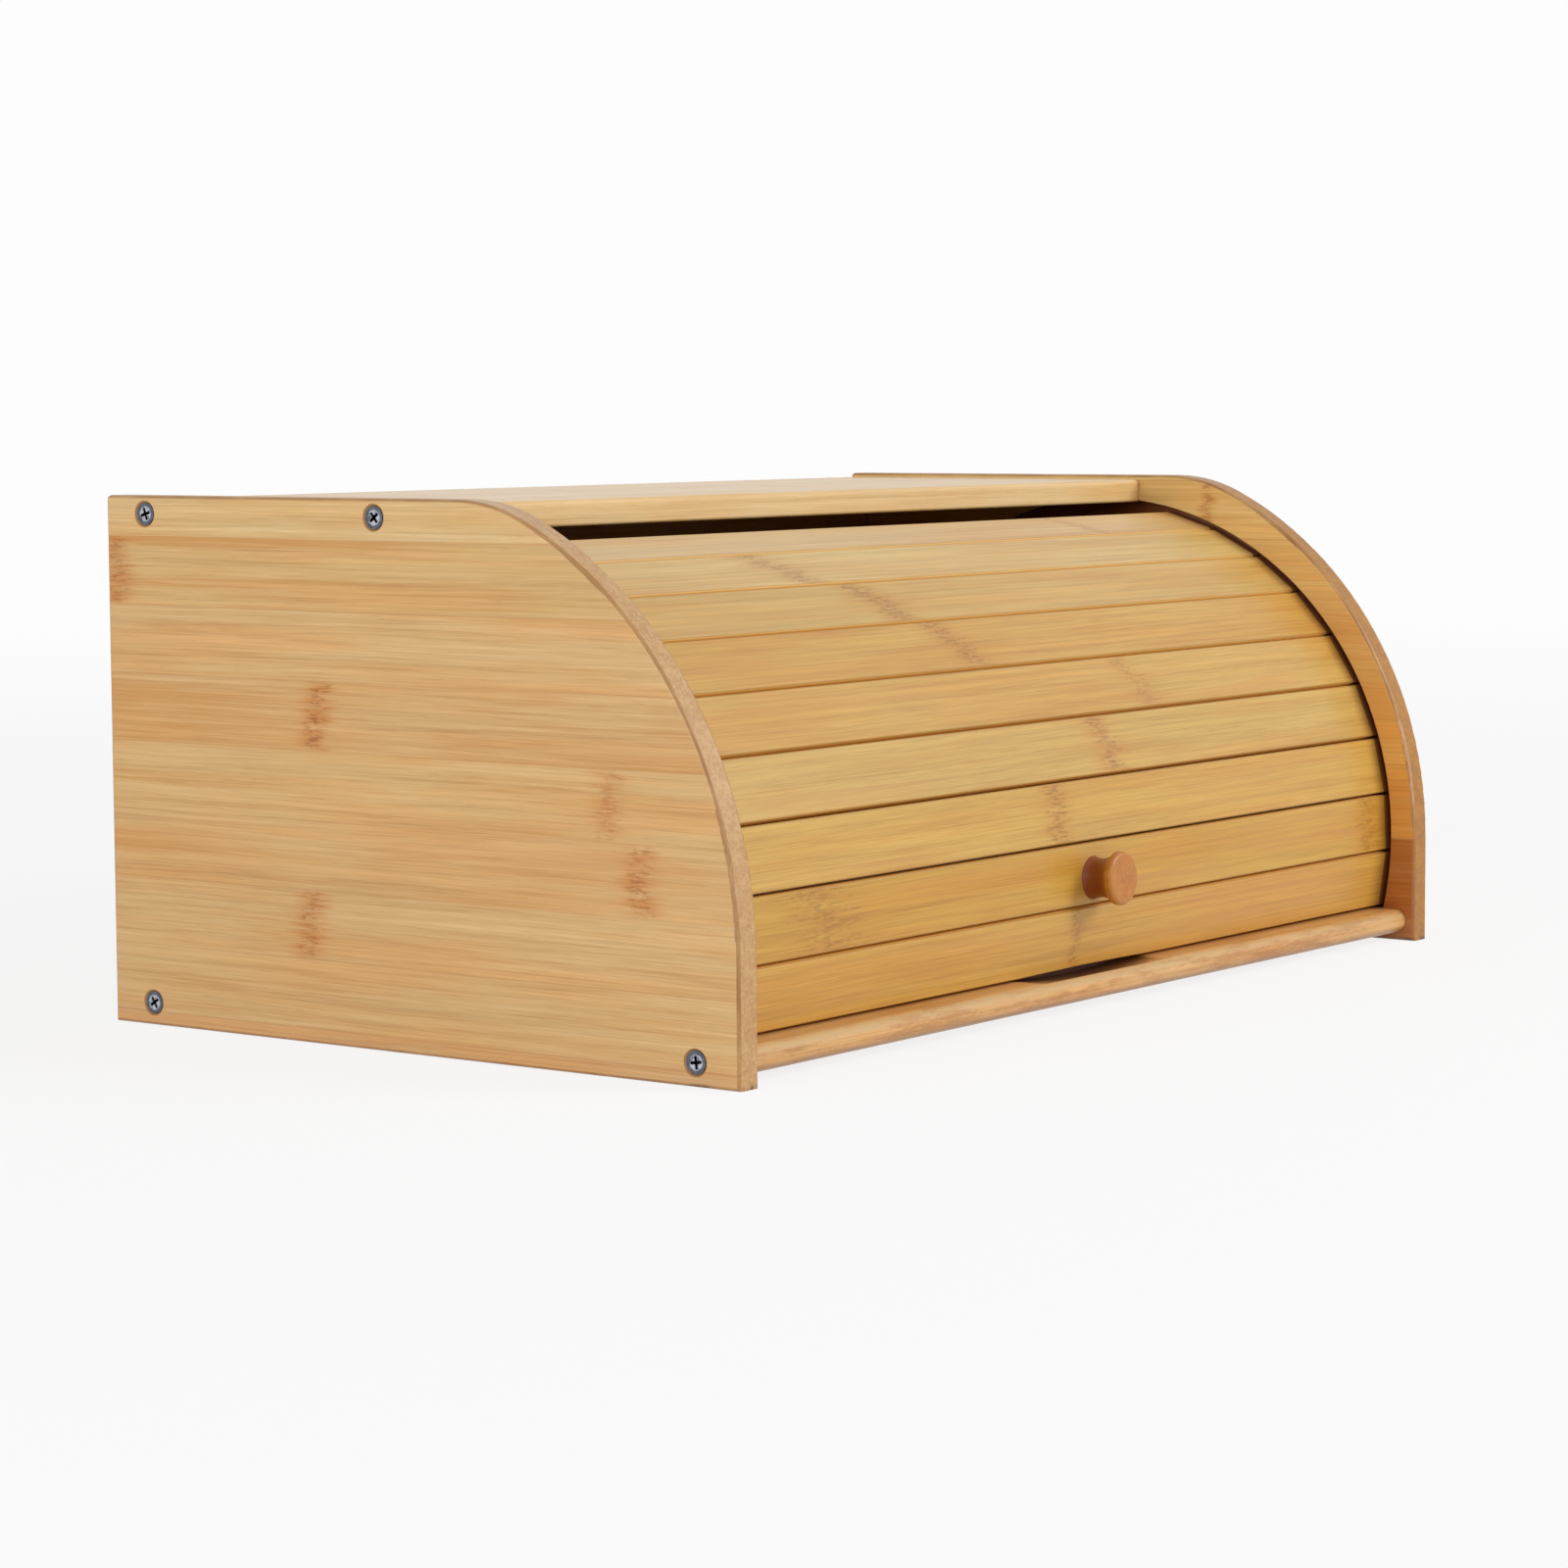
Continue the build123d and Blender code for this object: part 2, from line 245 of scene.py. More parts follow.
# the grain of a bamboo board glued up from strips; Place is in millimetres
def makeGrain():
    tree, given, result = newGroup(
        "bambooGrain",
        [("Place", "Vector"), ("Seed", "Float"), ("Strip Width", "Float"), ("Strip Start", "Float")],
        [("Tone", "Float"), ("Fibre", "Float"), ("Pore", "Float"), ("Glue", "Float"),
         ("Warmth", "Float"), ("Strip Tone", "Float"), ("Strip Count", "Float")],
    )
    along, across, through = parts(tree, given["Place"])
    counted = calc(tree, "DIVIDE", calc(tree, "SUBTRACT", across, given["Strip Start"]),
                   given["Strip Width"])
    label = calc(tree, "MULTIPLY_ADD", given["Seed"], 7.31, calc(tree, "FLOOR", counted))
    chance = addNode(tree, "TexWhiteNoise", {"W": label}, noise_dimensions="1D").outputs
    shifts = addNode(tree, "SeparateColor", {0: chance["Color"]}).outputs
    movedAlong = calc(tree, "MULTIPLY_ADD", shifts[0], 900.0, along)
    movedThrough = calc(tree, "MULTIPLY_ADD", shifts[1], 90.0, through)
    moved = joined(tree, movedAlong, across, movedThrough)
    wander = noise(tree, scaled(tree, moved, (0.006, 0.05, 0.05)), 1.0)
    bent = joined(tree, movedAlong, calc(tree, "MULTIPLY_ADD", wander, 2.2, across), movedThrough)
    broad = noise(tree, scaled(tree, bent, (0.004, 0.22, 0.22)), 3.0, 0.55)
    middle = noise(tree, scaled(tree, bent, (0.010, 0.85, 0.85)), 3.0, 0.6)
    thin = noise(tree, scaled(tree, bent, (0.03, 2.4, 2.4)), 2.0, 0.6)
    hair = noise(tree, scaled(tree, bent, (0.08, 6.0, 6.0)), 2.0, 0.6)
    tone = product(tree, broad, 0.22)
    tone = calc(tree, "MULTIPLY_ADD", middle, 0.32, tone)
    tone = calc(tree, "MULTIPLY_ADD", thin, 0.28, tone)
    tone = calc(tree, "MULTIPLY_ADD", hair, 0.18, tone)
    pore = smooth(tree, noise(tree, scaled(tree, bent, (0.12, 4.5, 4.5)), 1.0), 0.64, 0.76)
    warmth = noise(tree, scaled(tree, bent, (0.009, 0.10, 0.05)), 3.0, 0.6)
    edge = calc(tree, "FRACT", counted)
    nearest = calc(tree, "MINIMUM", edge, inverse(tree, edge))
    glue = below(tree, product(tree, nearest, given["Strip Width"]), 0.05, 0.35)
    tree.links.new(tone, result["Tone"])
    tree.links.new(calc(tree, "MULTIPLY_ADD", hair, 0.5, thin), result["Fibre"])
    tree.links.new(pore, result["Pore"])
    tree.links.new(glue, result["Glue"])
    tree.links.new(smooth(tree, warmth, 0.36, 0.66), result["Warmth"])
    tree.links.new(chance["Value"], result["Strip Tone"])
    tree.links.new(counted, result["Strip Count"])
    return tree


# a knuckle: the short brown, speckled smear where the stem had a joint
def makeKnuckle():
    tree, given, result = newGroup(
        "bambooKnuckle",
        [("Place", "Vector"), ("Along", "Float"), ("Across", "Float"), ("Half Length", "Float"),
         ("Half Width", "Float"), ("Slant", "Float")],
        [("Stain", "Float"), ("Dash", "Float")],
    )
    along, across, through = parts(tree, given["Place"])
    offAcross = calc(tree, "SUBTRACT", across, given["Across"])
    offAlong = calc(tree, "SUBTRACT", along, given["Along"])
    offAlong = calc(tree, "MULTIPLY_ADD", offAcross, given["Slant"], offAlong)
    drift = noise(tree, scaled(tree, given["Place"], (0.01, 0.12, 0.12)), 0.0)
    row = calc(tree, "FLOOR", calc(tree, "MULTIPLY_ADD", drift, 3.0, product(tree, across, 1.7)))
    chance = addNode(tree, "TexWhiteNoise", {"W": row}, noise_dimensions="1D").outputs
    draws = addNode(tree, "SeparateColor", {0: chance["Color"]}).outputs
    offAlong = calc(tree, "MULTIPLY_ADD", calc(tree, "SUBTRACT", draws[0], 0.5),
                    product(tree, given["Half Length"], 0.9), offAlong)
    offAlong = calc(tree, "MULTIPLY_ADD", calc(tree, "SUBTRACT", drift, 0.5), 6.0, offAlong)
    reach = calc(tree, "DIVIDE", calc(tree, "ABSOLUTE", offAlong), given["Half Length"])
    core = below(tree, reach, 0.15, 1.0)
    halo = below(tree, reach, 0.3, 2.0)
    spread = calc(tree, "DIVIDE", calc(tree, "ABSOLUTE", offAcross), given["Half Width"])
    inside = below(tree, spread, 0.8, 1.0)
    speckle = noise(tree, scaled(tree, given["Place"], (0.25, 1.1, 1.1)), 2.0, 0.65, 0.4)
    patch = noise(tree, scaled(tree, given["Place"], (0.05, 0.4, 0.4)), 2.0)
    dash = product(tree, core, inside, smooth(tree, speckle, 0.40, 0.60),
                   remap(tree, draws[1], 0.0, 1.0, 0.35, 1.0))
    stain = product(tree, halo, inside, smooth(tree, patch, 0.28, 0.62))
    tree.links.new(stain, result["Stain"])
    tree.links.new(dash, result["Dash"])
    return tree


grainGroup = makeGrain()
knuckleGroup = makeKnuckle()


# what all the bamboo pieces share; a piece's own look goes over it
bamboo = {
    "tints": ((206, 166, 111),),  # one, or one for each strip from the first
    "light": (1.0, 1.0, 1.0, 1), "middle": (0.87, 0.84, 0.77, 1), "dark": (0.72, 0.63, 0.48, 1),
    "warm": paint(255, 236, 208),
    "pore": paint(172, 118, 62),
    "glue": paint(178, 118, 58),
    "stain": paint(194, 122, 46),
    "dash": paint(154, 82, 16),
    "streak": paint(198, 140, 68),
    # painted shade, round the screws' countersinks and where the boards meet the sides
    "paintedShade": paint(150, 96, 48),
    "contrast": 1.0,
    "stripWidth": 21.7,
    "stripStart": 0.0,
    "stripSpread": 0.05,
    "seed": 1.0,
    "roughness": 0.40,
    "bump": 0.16,
    "coat": 0.10,
    "knuckles": (),  # along, across, half length, half width, slant, strength
    "streaks": (),  # along, across, half length, half width, strength
}


def lifted(tint, middle):  # the tint at which the middle of the grain comes out as written
    return tuple(min(1.0, part / share) for part, share in zip(paint(*tint)[:3], middle)) + (1,)


def addStreaks(tree, place, grain, colour, look):  # long faint marks that fade at their ends
    along, across, through = parts(tree, place)
    ragged = remap(tree, grain["Tone"], 0.42, 0.56, 1.0, 0.35)
    for streakAlong, streakAcross, halfLength, halfWidth, strength in look["streaks"]:
        offAlong = calc(tree, "ABSOLUTE", calc(tree, "SUBTRACT", along, streakAlong))
        offAcross = calc(tree, "ABSOLUTE", calc(tree, "SUBTRACT", across, streakAcross))
        mask = product(tree, ragged, strength, below(tree, offAlong, halfLength * 0.3, halfLength),
                       below(tree, offAcross, halfWidth * 0.5, halfWidth))
        colour = mixColour(tree, mask, colour, look["streak"])
    return colour


def addKnuckles(tree, place, colour, look):
    for markAlong, markAcross, halfLength, halfWidth, slant, strength in look["knuckles"]:
        knuckle = useGroup(tree, knuckleGroup, {
            "Place": place, "Along": markAlong, "Across": markAcross, "Half Length": halfLength,
            "Half Width": halfWidth, "Slant": slant})
        stain = product(tree, knuckle["Stain"], 0.75 * strength)
        dash = product(tree, knuckle["Dash"], 0.9 * strength)
        colour = mixColour(tree, stain, colour, look["stain"])
        colour = mixColour(tree, dash, colour, look["dash"])
    return colour


def bambooMaterial(name, centre, turn, look, touches=()):
    look = {**bamboo, **look}
    material, tree, shader = newMaterial(name)
    place = localPlace(tree, centre, turn)
    grain = useGroup(tree, grainGroup, {
        "Place": place, "Seed": look["seed"],
        "Strip Width": look["stripWidth"], "Strip Start": look["stripStart"]})
    tints = [lifted(tint, look["middle"]) for tint in look["tints"]]
    stops = [(number / len(tints), tint) for number, tint in enumerate(tints)] + [(1.0, tints[-1])]
    colour = ramp(tree, calc(tree, "DIVIDE", grain["Strip Count"], float(len(tints))), stops, "CONSTANT")
    spread = 0.13 / look["contrast"]
    tone = ramp(tree, grain["Tone"], (
        (0.5 - spread, look["dark"]), (0.5, look["middle"]), (0.5 + spread, look["light"])))
    colour = mixColour(tree, 1.0, colour, tone, "MULTIPLY")
    colour = mixColour(tree, product(tree, grain["Warmth"], 0.8), colour, look["warm"], "MULTIPLY")
    shade = remap(tree, grain["Strip Tone"], 0.0, 1.0, 1.0 - look["stripSpread"], 1.0)
    colour = mixColour(tree, 1.0, colour, joined(tree, shade, shade, shade), "MULTIPLY")
    colour = mixColour(tree, product(tree, grain["Pore"], 0.30), colour, look["pore"])
    colour = mixColour(tree, product(tree, grain["Glue"], 0.30), colour, look["glue"])
    colour = addStreaks(tree, place, grain, colour, look)
    colour = addKnuckles(tree, place, colour, look)
    for touch in touches:
        colour = touch(tree, place, grain, colour)
    tree.links.new(colour, shader.inputs["Base Color"])
    rough = remap(tree, grain["Fibre"], 0.4, 1.1, look["roughness"] - 0.06, look["roughness"] + 0.10)
    tree.links.new(rough, shader.inputs["Roughness"])
    relief = calc(tree, "SUBTRACT", grain["Fibre"], product(tree, grain["Glue"], 0.8))
    bump = addNode(tree, "Bump", {"Height": relief, "Strength": look["bump"], "Distance": 0.0003})
    tree.links.new(bump.outputs[0], shader.inputs["Normal"])
    shader.inputs["Coat Weight"].default_value = look["coat"]
    shader.inputs["Coat Roughness"].default_value = 0.18
    return material


def assign(names, material):
    for name in names:
        slots = nodes[name].data.materials
        slots.clear()
        slots.append(material)
        for face in nodes[name].data.polygons:
            face.material_index = 0


def axesTurn(along, across):  # the turn whose own X runs along the grain and Y across it
    along, across = Vector(along), Vector(across)
    return Matrix((along, across, along.cross(across))).transposed()


# screws: where their middles are, front to back and upwards, and how they are finished
screws = {
    "middles": ((109.0, 163.65), (12.0, 163.65), (109.0, 7.25), (-110.0, 7.25)),
    "headRadius": 3.55,
    "rimFrom": 2.2,
    "colour": paint(180, 184, 192),
    "dull": paint(96, 100, 110),
    # painted shade: the head's rim in the countersink and the cross recess
    "rim": paint(72, 76, 86),
    "deep": paint(14, 14, 18),
    "roughness": 0.28,
}


def screwDistance(tree, y, z):  # millimetres to the nearest screw's middle
    nearest = None
    for middleY, middleZ in screws["middles"]:
        offset = joined(tree, calc(tree, "SUBTRACT", y, middleY), calc(tree, "SUBTRACT", z, middleZ), 0.0)
        away = length(tree, offset)
        nearest = away if nearest is None else calc(tree, "MINIMUM", nearest, away)
    return nearest


# side boards: grain front to back, strips stacked upwards
sides = {
    "left_side": {
        "seed": 2.0, "stripStart": -17.2, "contrast": 1.15,
        "tints": ((206, 164, 110), (212, 174, 117), (211, 172, 115), (211, 169, 110), (210, 170, 111),
                  (209, 167, 109), (211, 172, 115), (210, 171, 111), (213, 180, 126)),
        "streaks": ((124, 101, 95, 11, 0.95), (100, 142.4, 120, 1.7, 0.85), (92, 155.4, 125, 1.7, 0.85),
                    (110, 60, 75, 5, 0.6), (95, 80, 70, 3, 0.55), (-92, 160, 26, 7, 0.5),
                    (30, 118, 60, 1.5, 0.5), (-40, 91, 50, 1.2, 0.4)),
        "knuckles": (
            (36.4, 102.2, 5.2, 11.4, 0.10, 1.0), (-78.4, 80.5, 5.4, 11.4, 0.06, 0.55),
            (-91.0, 58.8, 5.4, 11.4, -0.05, 0.85), (39.8, 37.1, 5.4, 11.4, 0.08, 0.9),
            (122.0, 146.0, 6.0, 11.4, 0.0, 0.9),
        ),
    },
    "right_side": {
        "seed": 5.0, "stripStart": -27.8,
        # strips from the fourth up are lifted above the left board's: partly their own tones, partly
        # painted light for the shaded inner face
        "tints": ((208, 160, 97), (208, 160, 97), (212, 161, 92), (232, 170, 84), (234, 174, 88),
                  (227, 173, 94), (223, 174, 100), (226, 184, 110), (232, 196, 126)),
        "knuckles": (
            (-14.0, 113.2, 4.0, 11.2, 0.05, 0.6), (62.0, 91.5, 4.0, 11.2, 0.06, 0.7),
            (-64.0, 26.4, 4.0, 11.2, -0.05, 0.7), (96.0, 4.7, 4.0, 11.2, 0.08, 0.5),
            (-38.0, 158.0, 2.5, 9.0, 0.2, 0.7),
        ),
    },
    "edges": {"left_side": (paint(204, 162, 108), paint(182, 134, 80)),
              # the right board's edge darker and more orange than the left's: painted shade
              "right_side": (paint(178, 120, 22), paint(150, 94, 8))},
    "corner": paint(156, 106, 52),
    "foot": paint(96, 58, 30),
    "footHeight": (0.4, 1.8), "footDepth": (-118.0, -96.0),
    # painted shade for the lowest strips inside the right board
    "innerLow": paint(170, 86, 14),
    "lowHeight": (36.8, 37.4), "lowDepth": (-100.0, -50.0),
    # painted shade in the slats' track, over these radii, heights and depths
    "groove": paint(140, 76, 34),
    "grooveRadii": (114.2, 122.4),
    "grooveFoot": (9.0, 11.0), "grooveBack": (117.0, 119.0),
    "innerFace": 200.5,
    "grooveFloor": 205.5,
}


def sideEdges(sideName):  # the sawn edge, two darker rounded corners and a darker patchy strip along the bottom at the front
    def touch(tree, place, grain, colour):
        pale, dark = sides["edges"][sideName]
        normal = addNode(tree, "NewGeometry").outputs["Normal"]
        sideways = calc(tree, "ABSOLUTE", parts(tree, normal)[0])
        sawn = mixColour(tree, smooth(tree, grain["Tone"], 0.42, 0.58), dark, pale)
        colour = mixColour(tree, below(tree, sideways, 0.2, 0.5), colour, sawn)
        patchy = noise(tree, scaled(tree, place, (0.06, 0.06, 0.3)), 3.0)
        rounded = product(tree, between(tree, sideways, 0.06, 0.25, 0.93, 0.999),
                          remap(tree, patchy, 0.35, 0.65, 0.5, 0.95))
        colour = mixColour(tree, rounded, colour, sides["corner"])
        y, z, x = parts(tree, place)
        foot = product(tree, below(tree, z, *sides["footHeight"]), below(tree, y, *sides["footDepth"]),
                       smooth(tree, patchy, 0.44, 0.58))
        return mixColour(tree, foot, colour, sides["foot"])
    return touch


def sideHoles(tree, place, grain, colour):  # painted shade round the screws' countersinks and in the track where the slats run
    y, z, x = parts(tree, place)
    rim = screws["headRadius"]
    ring = between(tree, screwDistance(tree, y, z), rim - 0.3, rim, rim + 0.05, rim + 1.0)
    colour = mixColour(tree, product(tree, ring, 0.5), colour, bamboo["paintedShade"])
    fromAxis = joined(tree, calc(tree, "SUBTRACT", y, trackAxis.y / mm),
                      calc(tree, "SUBTRACT", z, trackAxis.z / mm), 0.0)
    inner, outer = sides["grooveRadii"]
    face, floor = sides["innerFace"], sides["grooveFloor"]
    # painted shade on the track's walls and floor
    cut = product(
        tree,
        between(tree, calc(tree, "ABSOLUTE", x), face + 0.02, face + 0.3, floor + 0.1, floor + 0.4),
        between(tree, length(tree, fromAxis), inner - 0.1, inner + 0.1, outer - 0.1, outer + 0.1),
        smooth(tree, z, *sides["grooveFoot"]), below(tree, y, *sides["grooveBack"]))
    return mixColour(tree, cut, colour, sides["groove"])


def innerShade(tree, place, grain, colour):  # painted shade: the lowest strips deep orange on the inside at the front, where the curtain and the left board keep the light off
    y, z, x = parts(tree, place)
    mask = product(tree, below(tree, x, sides["innerFace"] + 0.5, sides["innerFace"] + 1.5),
                   below(tree, z, *sides["lowHeight"]), below(tree, y, *sides["lowDepth"]),
                   remap(tree, grain["Tone"], 0.42, 0.58, 0.85, 0.6))
    return mixColour(tree, mask, colour, sides["innerLow"])


for sideName in ("left_side", "right_side"):
    touches = [sideEdges(sideName), sideHoles]
    if sideName == "right_side":
        touches.insert(0, innerShade)
    assign([sideName], bambooMaterial(
        sideName, (0, 0, 0), axesTurn((0, 1, 0), (0, 0, 1)), sides[sideName], touches))
print("sides finished")


# top, base and back boards: grain along the width
boards = {
    "top_panel": {
        "seed": 7.0, "across": (0, 1, 0), "stripStart": -3.0, "stripSpread": 0.08, "coat": 0.28,
        "tints": ((226, 192, 134),),
        "streaks": ((188, 14, 14, 12, 0.4),),
        "knuckles": ((-120, 19, 4.0, 11, 0.1, 0.6), (40, 40, 4.0, 11, 0.0, 0.6),
                     (150, 62, 4.0, 11, 0.0, 0.6), (-40, 84, 4.0, 11, 0.0, 0.6)),
    },
    "base_panel": {
        "seed": 11.0, "across": (0, 1, 0), "stripStart": -130.0,
        "tints": ((212, 166, 104),), "contrast": 1.5,
        "knuckles": ((-105, -119, 16.0, 12, 0.1, 0.35), (95, -119, 14.0, 12, 0.0, 0.35),
                     (10, -97, 4.0, 11, 0.0, 0.6)),
        # nose is a painted highlight, spot the lip's own mottling, under painted shade
        "nose": paint(205, 167, 110), "spot": paint(170, 112, 54), "under": paint(140, 98, 54),
        # painted shade in the finger recess, darkest next to the slat
        "recess": paint(108, 62, 28),
        "lip": (-122.0, -116.0),
        "recessHeight": (8.2, 8.7, 10.95, 11.2),
        "recessDepth": (-121.0, -108.0, -103.0, -102.7),
        "recessEnds": (41.0, 43.0),
    },
    "back_panel": {
        "seed": 13.0, "across": (0, 0, 1), "stripStart": 6.0, "stripSpread": 0.10,
        "knuckles": ((-90, 38.5, 4.0, 11, 0.1, 0.6), (70, 82, 4.0, 11, 0.0, 0.6),
                     (-10, 125, 4.0, 11, 0.0, 0.6), (160, 103.6, 4.0, 11, 0.0, 0.6)),
    },
}


def baseNose(tree, place, grain, colour):  # mottled front lip with a painted highlight along its nose and painted shade underneath, and painted shade in the recess behind it
    look = boards["base_panel"]
    along, across, through = parts(tree, place)
    front = below(tree, across, *look["lip"])
    mottled = smooth(tree, noise(tree, scaled(tree, place, (0.045, 0.3, 0.3)), 5.0, 0.75), 0.42, 0.62)
    colour = mixColour(tree, product(tree, front, mottled, 0.65), colour, look["spot"])
    normal = parts(tree, addNode(tree, "NewGeometry").outputs["Normal"])
    forward = calc(tree, "MULTIPLY", normal[1], -1.0)
    downward = calc(tree, "MULTIPLY", normal[2], -1.0)
    # painted shade on the faces that look down
    under = product(tree, front, smooth(tree, downward, 0.2, 0.8), 0.6)
    colour = mixColour(tree, under, colour, look["under"])
    # painted highlight along the front of the nose
    noseHighlight = product(tree, between(tree, forward, 0.30, 0.55, 0.86, 0.999),
                     below(tree, downward, -0.1, 0.3),
                     remap(tree, mottled, 0.0, 1.0, 0.85, 0.25))
    colour = mixColour(tree, noseHighlight, colour, look["nose"])
    # painted shade in the recess
    sunk = product(tree, between(tree, through, *look["recessHeight"]),
                   between(tree, across, *look["recessDepth"]),
                   below(tree, calc(tree, "ABSOLUTE", along), *look["recessEnds"]))
    return mixColour(tree, sunk, colour, look["recess"])


def boardEdges(tree, place, grain, colour):  # painted shade where the board meets its neighbours
    along = calc(tree, "ABSOLUTE", parts(tree, place)[0])
    patchy = noise(tree, scaled(tree, place, (0.1, 0.1, 0.3)), 3.0)
    close = product(tree, smooth(tree, along, sides["innerFace"] - 1.2, sides["innerFace"] - 0.1),
                    remap(tree, patchy, 0.35, 0.65, 0.2, 0.8))
    return mixColour(tree, close, colour, bamboo["paintedShade"])


for boardName, look in boards.items():
    touches = (baseNose, boardEdges) if boardName == "base_panel" else (boardEdges,)
    turn = axesTurn((1, 0, 0), look["across"])
    assign([boardName], bambooMaterial(boardName, (0, 0, 0), turn, look, touches))
print("boards finished")


# slats: one strip each, the marks given along the width from the middle of the box
slats = {
    "count": 9,
    "halfWidth": 10.0,
    "marks": {  # along, half length, slant, strength
        1: ((-9.6, 3.5, 0.0, 0.8),), 2: ((-150.8, 19.0, 0.25, 0.8), (188.0, 9.0, 0.0, 0.8)),
        3: ((-18.0, 7.5, -0.25, 1.0),), 4: ((22.3, 7.5, 0.15, 1.0),), 5: ((56.4, 7.0, 0.4, 0.6),),
        6: ((-34.3, 8.5, 0.55, 0.9),), 7: ((-56.4, 8.5, 0.5, 1.0),), 8: ((-86.0, 8.0, 0.6, 0.85),),
        9: ((122.0, 5.0, 0.8, 0.6),),
    },
    "streaks": {
        1: ((120, 0, 110, 12, 0.45), (-60, 5, 50, 3, 0.4), (-150, -6, 60, 4, 0.4)),
        2: ((150, 3, 80, 9, 0.55), (40, -6, 60, 4, 0.5), (-60, 6, 70, 3, 0.4)),
        3: ((120, 2, 90, 9, 0.35), (-120, -7, 60, 2, 0.4)), 4: ((-130, -6, 80, 3, 0.35),),
        5: ((-110, 4, 70, 3, 0.35), (120, -7, 60, 2, 0.4)), 6: ((-140, -3, 50, 6, 0.35),),
        7: ((-170, -7, 60, 3, 0.4), (60, 6, 60, 3, 0.35)), 8: ((-160, -8, 70, 2, 0.4),),
    },
    # the top slats, 8 and 9, paler: partly their own tones, partly a painted sheen
    "tints": {
        1: (201, 154, 64), 2: (195, 150, 56), 3: (198, 155, 68), 4: (196, 157, 78),
        5: (198, 156, 76), 6: (200, 156, 75), 7: (202, 164, 90), 8: (211, 177, 106),
        9: (214, 178, 116),
    },
    "edge": {1: 0.8, 2: 0.8, 3: 0.9, 4: 0.9, 5: 0.9, 6: 0.85, 7: 0.75, 8: 0.65, 9: 0.6},
    "joint": paint(168, 122, 58),
    # painted light: pale side faces in the gaps between slats, so the gaps read brown rather than black
    "sideTop": paint(246, 208, 136),
    "sideLow": paint(236, 184, 92),
    # painted shade on the slats' ends inside the track
    "end": paint(140, 80, 36),
    "jointFrom": (9.3, 9.85),  # from a slat's middle line
    "sideFrom": (9.9, 9.98),
    "endFrom": (199.9, 200.5),  # from the middle of the box
}


def slatEdges(strength):
    def touch(tree, place, grain, colour):
        along, across, through = parts(tree, place)
        patchy = noise(tree, scaled(tree, place, (0.04, 0.3, 0.3)), 3.0)
        offAcross = calc(tree, "ABSOLUTE", across)
        edge = product(tree, smooth(tree, offAcross, *slats["jointFrom"]),
                       remap(tree, patchy, 0.3, 0.7, 0.6, 1.0), strength)
        colour = mixColour(tree, edge, colour, slats["joint"])
        # painted light on the side faces in the gaps, paler on the upper slats
        side = mixColour(tree, strength, slats["sideTop"], slats["sideLow"])
        colour = mixColour(tree, smooth(tree, offAcross, *slats["sideFrom"]), colour, side)
        # painted shade where the slats run into the track
        end = smooth(tree, calc(tree, "ABSOLUTE", along), *slats["endFrom"])
        return mixColour(tree, end, colour, slats["end"])
    return touch


def slatAxes(slatName):  # a slat's middle, and its directions upwards and outwards
    low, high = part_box(slatName)
    middle = (low + high) / 2
    outward = middle - trackAxis
    outward.x = 0
    outward.normalize()
    return middle, outward.cross(Vector((1, 0, 0))), outward


for number in range(1, slats["count"] + 1):
    slatName = f"slat_{number:02d}"
    middle, upward, outward = slatAxes(slatName)
    look = {
        "seed": 20.0 + number, "stripWidth": 400.0, "stripStart": -200.0, "stripSpread": 0.0,
        "contrast": 1.25, "stain": paint(190, 132, 44), "dash": paint(140, 88, 14),
        "tints": (slats["tints"][number],), "streaks": slats["streaks"].get(number, ()),
        "knuckles": [(along, 0.0, half, 11.5, slant, strength)
                     for along, half, slant, strength in slats["marks"].get(number, ())],
    }
    assign([slatName], bambooMaterial(slatName, middle, axesTurn((1, 0, 0), upward), look,
                                      (slatEdges(slats["edge"][number]),)))
print("slats finished")


# knob: turned from one rod, so its grain runs straight out
knobLook = {
    "seed": 40.0, "stripWidth": 400.0, "stripStart": -200.0, "stripSpread": 0.0,
    "tints": ((184, 116, 30),), "contrast": 1.3, "roughness": 0.34, "coat": 0.04,
    # neck is painted shade, rim a painted highlight
    "neck": paint(124, 50, 4), "rim": paint(244, 192, 128),
    "neckAt": (0.0, 5.0), "rimAt": (6.0, 7.6, 8.4, 9.2),  # outwards from the knob's middle
}


def knobTones(tree, place, grain, colour):  # painted shade in the neck, painted highlight at the rim
    outwards = parts(tree, place)[0]
    neck = below(tree, outwards, *knobLook["neckAt"])
    colour = mixColour(tree, product(tree, neck, 0.9), colour, knobLook["neck"])
    rim = between(tree, outwards, *knobLook["rimAt"])
    return mixColour(tree, product(tree, rim, 0.8), colour, knobLook["rim"])


low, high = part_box("knob")
knobOut = slatAxes("slat_02")[2]
assign(["knob"], bambooMaterial("knob", (low + high) / 2, axesTurn(knobOut, (1, 0, 0)), knobLook,
                                (knobTones,)))
print("knob finished")


